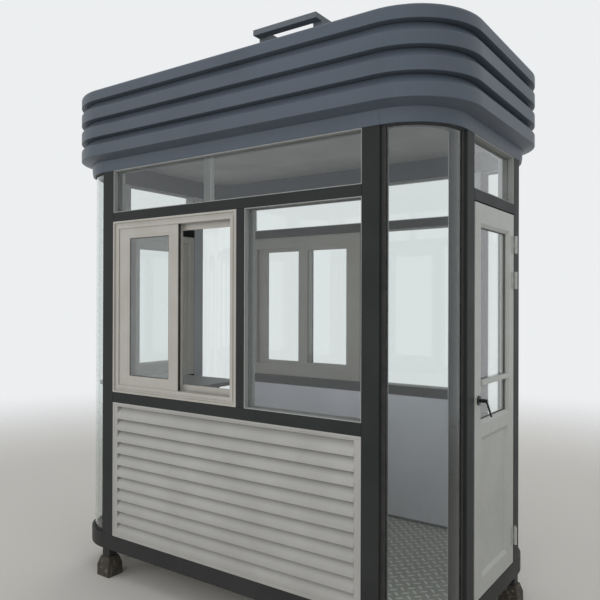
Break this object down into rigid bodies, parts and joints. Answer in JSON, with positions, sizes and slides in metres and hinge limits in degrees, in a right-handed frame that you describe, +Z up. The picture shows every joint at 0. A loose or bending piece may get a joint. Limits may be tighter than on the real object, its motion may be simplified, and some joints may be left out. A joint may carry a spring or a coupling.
{
  "type": "security guard booth",
  "caption": "Rounded glazed security booth with louvred lower walls, a banded overhanging roof, a sliding window, a desk and a hinged end door.",
  "frame": {"origin": "on the ground, under the middle of the plan", "axes": "+X along the length towards the door end, +Y towards the rear wall, +Z up"},
  "size_m": [2.59, 1.5, 3.029],
  "materials": {
    "frame_paint": "satin",
    "fascia_paint": "satin",
    "foot_blocks": "rough",
    "window_upvc": "satin",
    "door_upvc": "satin",
    "louvre": "satin",
    "lining": "satin",
    "skirting": "satin",
    "clear_glass": "gloss",
    "floor_plate": "satin",
    "ceiling": "satin",
    "roof_core": "rough",
    "glazing_bar": "satin",
    "desk": "satin",
    "black_metal": "satin",
    "stop_strip": "rough",
    "hinge_metal": "satin"
  },
  "bodies": {
    "booth": {"foot_blocks": "foot_blocks", "legs": "black_metal", "base_beams": "frame_paint", "base_corners": "frame_paint", "floor_joists": "frame_paint", "floor_plate": "floor_plate", "wall_posts": "frame_paint", "end_posts": "frame_paint", "mullions": "frame_paint", "sill_rails": "frame_paint", "transom_rails": "frame_paint", "head_beams": "fascia_paint", "head_corners": "fascia_paint", "ceiling_panel": "ceiling", "roof_core": "roof_core", "fascia_band_1": "fascia_paint", "fascia_band_2": "fascia_paint", "fascia_band_3": "fascia_paint", "fascia_band_4": "fascia_paint", "roof_deck": "fascia_paint", "roof_frame": "fascia_paint", "corner_glass": "clear_glass", "transom_glass": "clear_glass", "transom_glazing_bar": "glazing_bar", "fixed_glass": "clear_glass", "front_window_frame": "window_upvc", "front_sash_outer": "window_upvc", "front_sash_inner": "window_upvc", "front_sash_glass": "clear_glass", "rear_window_frame": "window_upvc", "rear_sash_outer": "window_upvc", "rear_sash_inner": "window_upvc", "rear_sash_glass": "clear_glass", "louvre_panels": "louvre", "lining_panels": "lining", "skirting": "skirting", "desk_top": "desk", "desk_brackets": "black_metal", "door_stops": "stop_strip", "frame_hinges": "hinge_metal"},
    "door": {"door_leaf": "door_upvc", "door_glass": "clear_glass", "door_glazing_bar": "door_upvc", "door_hinges": "hinge_metal", "door_roses": "black_metal"},
    "door_handle": {"door_lever": "black_metal"}
  },
  "joints": [
    {"name": "door_swing", "type": "hinge", "parent": "booth", "child": "door", "pos_m": [1.235, 0.297, 1.183], "axis": [0, 0, 1], "range_deg": [0, 100]},
    {"name": "lever_turn", "type": "hinge", "parent": "door", "child": "door_handle", "pos_m": [1.2, -0.2435, 1.186], "axis": [-1, 0, 0], "range_deg": [0, 30], "stiffness_Nm_per_rad": 1, "springref_deg": -28.65}
  ]
}
